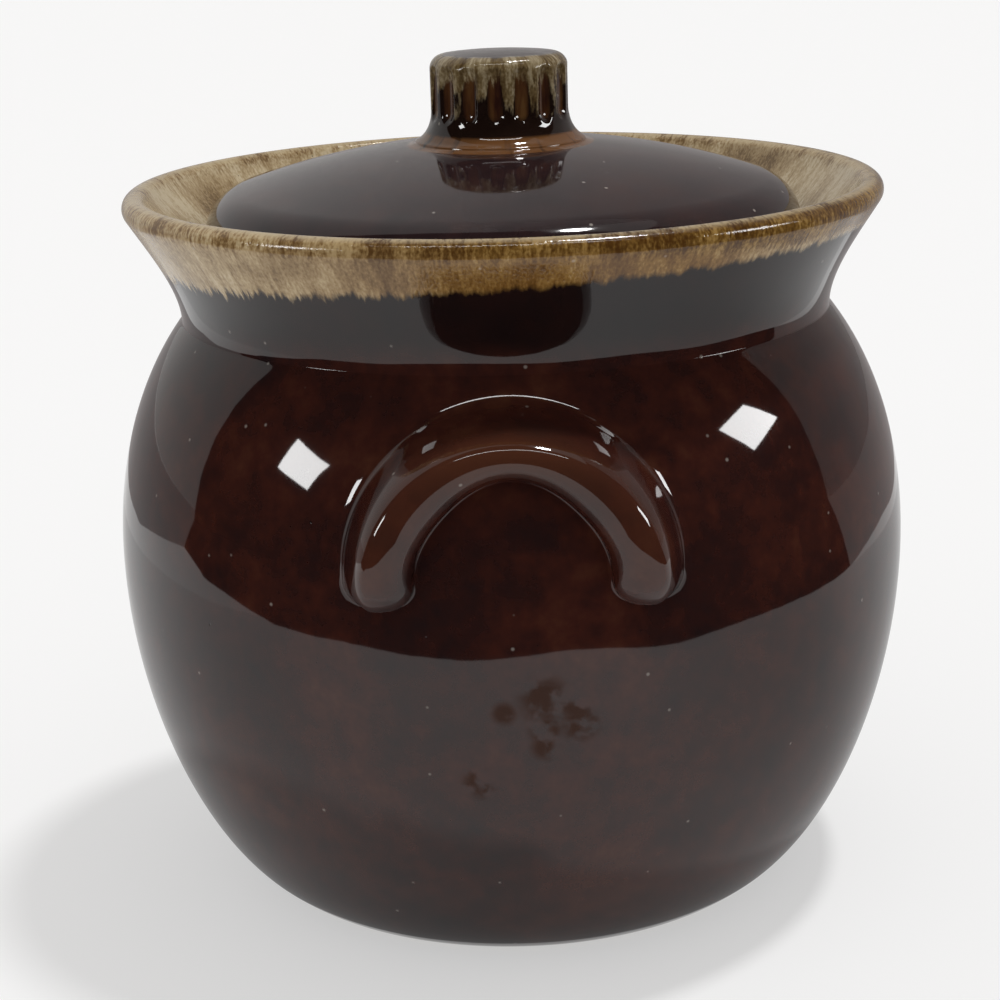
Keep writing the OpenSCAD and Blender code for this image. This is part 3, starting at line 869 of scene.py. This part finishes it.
def lug_rings():
    """The lug's skin as rings of points, from one foot over the arch to the other."""
    down = (LEG + TOE) * np.sin(np.linspace(math.pi / 2, 0, LEG_STATIONS + 1))[:-1]
    round_toe = np.sqrt(np.maximum(1 - (np.maximum(down - LEG, 0) / TOE) ** 2, 1e-3))
    turns = np.linspace(0, math.pi, ARCH_STATIONS + 1)
    stations = [(ARCH_R, ARCH_H - s, 0, w) for s, w in zip(down, round_toe)]
    stations += [(ARCH_R * math.cos(t), ARCH_H + ARCH_R * math.sin(t), t, 1) for t in turns]
    stations += [(-ARCH_R, ARCH_H - s, math.pi, w) for s, w in zip(down[::-1], round_toe[::-1])]
    toe_h = ARCH_H - LEG - TOE
    rings, break_and_sheen = [], []
    for x, h, turn, width in stations:
        sunk = np.clip((SINK_TOP - h) / (SINK_TOP - toe_h), 0, 1)
        out = LUG_OUT * math.sqrt(max(1 - sunk ** SINK_SHAPE, 1e-3))
        rise, hip = math.sin(turn) ** 2, math.sin(2 * turn) ** 2
        ridge = (RIDGE_AT_LEG + (RIDGE_AT_TOP - RIDGE_AT_LEG) * rise) * width
        outside = (HALF_WIDTH - TOP_NARROWER * rise) * width
        inside = (HALF_WIDTH + TOP_WIDER_INSIDE * rise + HIP_WIDER_INSIDE * hip) * width
        section = lug_section(outside, inside, out, ridge)
        across, away = section[:, 0], section[:, 1]
        px, pz = x + across * math.cos(turn), h + across * math.sin(turn)
        wall = np.interp(pz, wall_z, wall_r)
        rings.append(np.stack([px, -np.sqrt(wall ** 2 - px ** 2) - away, pz], axis=1))
        # Thin glaze and painted reflection on the ridge, strongest high on the arch
        ridge_near = np.clip((away / LUG_OUT - RIDGE_SHEEN_FROM) / (1 - RIDGE_SHEEN_FROM), 0, 1) ** RIDGE_SHEEN_SHAPE
        break_and_sheen.append(ridge_near * np.clip(rise, RIDGE_SHEEN_AT_LEG, 1))
    return np.array(rings), np.array(break_and_sheen)


def lug(name, node, side):
    """One lug on the front (side 1) or the back (side -1) of the pot."""
    rings, break_and_sheen = lug_rings()
    rings = rings * (side, side, 1)
    rows, count = rings.shape[:2]
    points = np.vstack([rings.reshape(-1, 3), rings[0].mean(axis=0), rings[-1].mean(axis=0)])
    first, last = rows * count, rows * count + 1
    quads = [(r + i, r + (i + 1) % count, r + count + (i + 1) % count, r + count + i)
             for r in range(0, first - count, count) for i in range(count)]
    caps = [((i + 1) % count, i, first) for i in range(count)]
    caps += [(first - count + i, first - count + (i + 1) % count, last) for i in range(count)]
    mesh = bpy.data.meshes.new(name)
    mesh.from_pydata(points.tolist(), [], quads + caps)
    for kept, values in (("run", RIM_H - points[:, 2]), ("break_and_sheen", np.concatenate([break_and_sheen.ravel(), (0, 0)]))):
        mesh.attributes.new(kept, "FLOAT", "POINT").data.foreach_set("value", values.astype(np.float32))
    mesh.shade_smooth()
    mesh.materials.append(WARE_GLAZE)
    piece = bpy.data.objects.new(name, mesh)
    scene.collection.objects.link(piece)
    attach(piece, "pot")
    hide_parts(node)


lug("front_lug", "front_handle", 1)
lug("rear_lug", "rear_handle", -1)


# ---------------------------------------------------------------------------------------------
# Lid: a loose stoneware dome, cast hollow. It stands on the ledge inside the rim, and a ring under
# it keeps it centred. The glaze is the pot's own without the rim dip; the seat is left bare.
DOME_R, DOME_RISE = 195 * MM, 30.1 * MM
SHOULDER_R = 9.4 * MM
DOME_EASE, DOME_EASE_PULL = 0.1, 0.9
LID_GAP = 0.8 * MM
LID_R = GALLERY_R - LID_GAP
LID_WALL = 6 * MM
SKIRT_H, SKIRT_T = 7.5 * MM, 4.5 * MM
EDGE_BREAK_R, EDGE_RISE = 1 * MM, 3 * MM
KNOB_RING_R = 18.8 * MM
LID_AROUND = 256
# The glaze ends between these heights above the seat
SEAT_BARE = (1.2 * MM, 0.6 * MM)
LID_GLAZE = ((0.33, (0.012, 0.008, 0.009)), (0.5, (0.024, 0.013, 0.014)), (0.67, (0.040, 0.018, 0.016)))

dome_centre = SEAT_H + DOME_RISE - DOME_R
knob_seat_h = dome_centre + math.sqrt(DOME_R ** 2 - KNOB_RING_R ** 2)


def dome_line(start_r, edge_r, corner_r, cap_r):
    """Half of a dome's outline, from a radius near the middle to the upright edge."""
    corner_h = dome_centre + math.sqrt((cap_r - corner_r) ** 2 - (edge_r - corner_r) ** 2)
    meet = math.acos((edge_r - corner_r) / (cap_r - corner_r))
    pull = 4 / 3 * math.tan(meet / 4) * corner_r
    eased_in = corner_r * DOME_EASE
    leave = meet + eased_in / cap_r
    start = np.array((cap_r * math.cos(leave), dome_centre + cap_r * math.sin(leave)))
    way = np.array((math.sin(leave), -math.cos(leave)))
    shoulder = curve(start, start + (eased_in + pull * DOME_EASE_PULL) * way,
                     (edge_r, corner_h + pull), (edge_r, corner_h), 44)
    return join(arc((0, dome_centre), cap_r, math.acos(start_r / cap_r), leave, 80), shoulder)


def lid_glaze():
    """The lid's glaze: dark, faintly purple, with pale specks, and bare clay where it stands."""
    material, tree, shader = new_material("lid_glaze", GLAZE_ROUGHNESS)
    add, take, times = sums(tree)
    place = object_place(tree)
    ground = use(tree, GROUND, place=place)
    at = tree.nodes.new("ShaderNodeSeparateXYZ")
    tree.links.new(place, at.inputs[0])
    colour = tinted(tree, ground["Mottle"], *LID_GLAZE)
    colour = blended(tree, times(ground["Specks"], 0.5), colour, SPECK)
    colour = blended(tree, ground["Pits"], colour, PIT)
    bare = eased(tree, at.outputs["Z"], *(SEAT_H + above for above in SEAT_BARE))
    tree.links.new(blended(tree, bare, colour, bare_clay(tree, place)), shader.inputs["Base Color"])
    rough = add(times(ground["Mottle"], 0.05), GLAZE_ROUGHNESS)
    tree.links.new(add(rough, times(bare, CLAY_ROUGHNESS)), shader.inputs["Roughness"])
    relief(tree, shader, take(ground["Height"], times(ground["Pits"], PIT_DEPTH)))
    return material


skirt_r = ledge_r - LID_GAP
inner_r, skirt_bottom = skirt_r - SKIRT_T, SEAT_H - SKIRT_H
under_dome = dome_line(0, inner_r, SHOULDER_R - LID_WALL, DOME_R - LID_WALL)
ring_edge = rounded(np.array((tuple(under_dome[-1]), (inner_r, skirt_bottom), (skirt_r, skirt_bottom),
                              (skirt_r, SEAT_H), (LID_R, SEAT_H), (LID_R, SEAT_H + EDGE_RISE))),
                    EDGE_BREAK_R)
lid_outline = join(under_dome, ring_edge[1:], dome_line(KNOB_RING_R, LID_R, SHOULDER_R, DOME_R)[::-1],
                   np.linspace((KNOB_RING_R, knob_seat_h), (0, knob_seat_h), 6)[1:])
lid_piece = turned("lid_dome", lid_outline, along(lid_outline, 0), lid_glaze(), LID_AROUND)
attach(lid_piece, "lid")
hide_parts("lid")


# ---------------------------------------------------------------------------------------------
# Knob: a solid stoneware grip with sixteen thumb flutes, pressed in a mould and luted to the middle
# of the dome. Its top was dipped in the foaming glaze, which runs down the ridges in drips.
KNOB_R, KNOB_H = 15.15 * MM, 20 * MM
KNOB_EDGE_R, KNOB_CROWN = 3.1 * MM, 0.7 * MM
RING_EDGE, RING_FILLET = 0.5 * MM, 2.4 * MM
WAIST_H, WAIST_PULL, WAIST_WAY = 7 * MM, 2.8 * MM, np.array((-1.5, 0.8)) * MM
FOOT_BEAD = 0.6 * MM
FLUTES, FLUTE_R, FLUTE_DEPTH = 16, 3.2 * MM, 1 * MM
FLUTE_START, FLUTE_STOP = 4.6 * MM, 1.6 * MM
TOP_TRIM = 0.01 * MM
FLUTE_TURN = math.radians(7.5)
RIDGE_SOFTNESS = 0.5 * MM
CROWN_TILT = math.radians(6)
KNOB_FOAM = ((0.0, (0.070, 0.040, 0.014)), (0.45, (0.165, 0.115, 0.052)), (1.0, (0.380, 0.315, 0.200)))
FLUTE_BROWN = ((0.3, (0.030, 0.010, 0.007)), (0.5, (0.075, 0.030, 0.011)), (0.7, (0.120, 0.058, 0.020)))
KNOB_DARK = (0.014, 0.007, 0.005)
KNOB_FOOT = (0.150, 0.066, 0.024)
KNOB_TOP = (0.040, 0.028, 0.028)
# The knob's glaze, in millimetres above its seat
FOAM_LINE, RIDGE_DRIP, LONGEST_DRIP = 14.2, 4.5, 7.0
FOOT_BAND, TOP_BAND, TOP_R = (3.0, 2.2), (18.2, 18.8), (13.2, 11.6)
DRIP_SPREAD, DRIP_END = 26, (-0.6, 1.6)
KNOB_GIRTH = 16
KNOB_AROUND = 384


def knob_glaze():
    """The knob's glaze, from its foot up: ochre ring, dark waist, brown flutes, foam and a dark top."""
    material, tree, shader = new_material("knob_glaze", GLAZE_ROUGHNESS)
    add, take, times = sums(tree)
    place = object_place(tree)
    ground = use(tree, GROUND, place=place)
    at = tree.nodes.new("ShaderNodeSeparateXYZ")
    tree.links.new(place, at.inputs[0])
    above = math_step(tree, "DIVIDE", take(at.outputs["Z"], knob_seat_h), MM)
    streaks = use(tree, STREAKS, place=place, run=above, girth=KNOB_GIRTH)
    fine, broad, patch, grain = (streaks[name] for name in ("Fine", "Broad", "Patch", "Grain"))
    hollow = kept_value(tree, "hollow")
    brown = tinted(tree, add(broad, scaled(tree, fine, 0.5, 0.4)), *FLUTE_BROWN)
    colour = blended(tree, eased(tree, hollow, 0.30, 0.92), KNOB_DARK, brown)
    foot_ring = times(eased(tree, above, *FOOT_BAND), eased(tree, broad, 0.22, 0.42))
    colour = blended(tree, foot_ring, colour, KNOB_FOOT)

    ridge = eased(tree, hollow, 0.85, 0.1)
    drip = math_step(tree, "MAXIMUM", add(RIDGE_DRIP, scaled(tree, patch, 0.5, DRIP_SPREAD)), 0)
    line = take(FOAM_LINE, times(ridge, math_step(tree, "MINIMUM", drip, LONGEST_DRIP)))
    line = take(line, add(scaled(tree, fine, 0.5, 5), scaled(tree, grain, 0.5, 2)))
    cover = eased(tree, take(above, line), *DRIP_END)
    mixed = weighted(tree, (fine, 0.35), (broad, 0.35), (grain, 0.30))
    foam = tinted(tree, eased(tree, mixed, 0.34, 0.66), *KNOB_FOAM)
    colour = blended(tree, cover, colour, foam)
    top = eased(tree, add(streaks["Radius"], scaled(tree, broad, 0.5, 3)), *TOP_R)
    top = times(top, eased(tree, above, *TOP_BAND))
    colour = blended(tree, top, colour, KNOB_TOP)
    cover = times(cover, take(1, top))
    colour = blended(tree, times(ground["Specks"], 0.4), colour, SPECK)
    tree.links.new(colour, shader.inputs["Base Color"])
    rough = add(times(cover, scaled(tree, grain, 0.1, 0.12)), GLAZE_ROUGHNESS)
    tree.links.new(rough, shader.inputs["Roughness"])
    swell = scaled(tree, noise(tree, place, 210, 1), 0.5, 0.12)
    relief(tree, shader, add(swell, times(cover, scaled(tree, mixed, 0.3, 0.22))))
    return material


crown = np.array((KNOB_R - KNOB_EDGE_R, KNOB_H - KNOB_CROWN - KNOB_EDGE_R))
fillet_r = KNOB_RING_R + RING_FILLET
dome_drop = math.sqrt(DOME_R ** 2 - KNOB_RING_R ** 2) - math.sqrt(DOME_R ** 2 - fillet_r ** 2)
foot_edge = np.array((KNOB_RING_R, RING_EDGE))
waist_foot = foot_edge + np.array((-FOOT_BEAD, FOOT_BEAD))
knob_outline = join(
    np.linspace((0, -RING_EDGE), (KNOB_RING_R, -RING_EDGE), 12),
    curve((fillet_r, -dome_drop - RING_EDGE / 10), (KNOB_RING_R + RING_FILLET / 3, 0),
          foot_edge - (0, RING_EDGE / 2), foot_edge, 8),
    curve(foot_edge, foot_edge + (0, FOOT_BEAD / 2), waist_foot - WAIST_WAY / 4, waist_foot, 8),
    curve(waist_foot, waist_foot + WAIST_WAY, (KNOB_R, WAIST_H - WAIST_PULL), (KNOB_R, WAIST_H), 26),
    np.linspace((KNOB_R, WAIST_H), (KNOB_R, crown[1]), 40)[1:],
    arc(crown, KNOB_EDGE_R, 0, math.pi / 2 - CROWN_TILT, 20),
    curve(crown + KNOB_EDGE_R * np.array((math.sin(CROWN_TILT), math.cos(CROWN_TILT))),
          (crown[0] / 2, KNOB_H - TOP_TRIM), (crown[0] / 4, KNOB_H - TOP_TRIM), (0, KNOB_H - TOP_TRIM),
          16)) + (0, knob_seat_h)
knob_piece = turned("fluted_knob", knob_outline, along(knob_outline, 0), knob_glaze(), KNOB_AROUND, **{
    "Flutes": FLUTES, "Knob Radius": KNOB_R, "Scoop Radius": FLUTE_R, "Scoop Depth": FLUTE_DEPTH,
    "Scoop Start": knob_seat_h + FLUTE_START + FLUTE_R,
    "Scoop Stop": knob_seat_h + KNOB_H - FLUTE_STOP - FLUTE_R,
    "Turn": FLUTE_TURN - math.pi / 2 + math.pi / FLUTES, "Ridge Softness": RIDGE_SOFTNESS})
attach(knob_piece, "lid")
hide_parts("lid_knob")
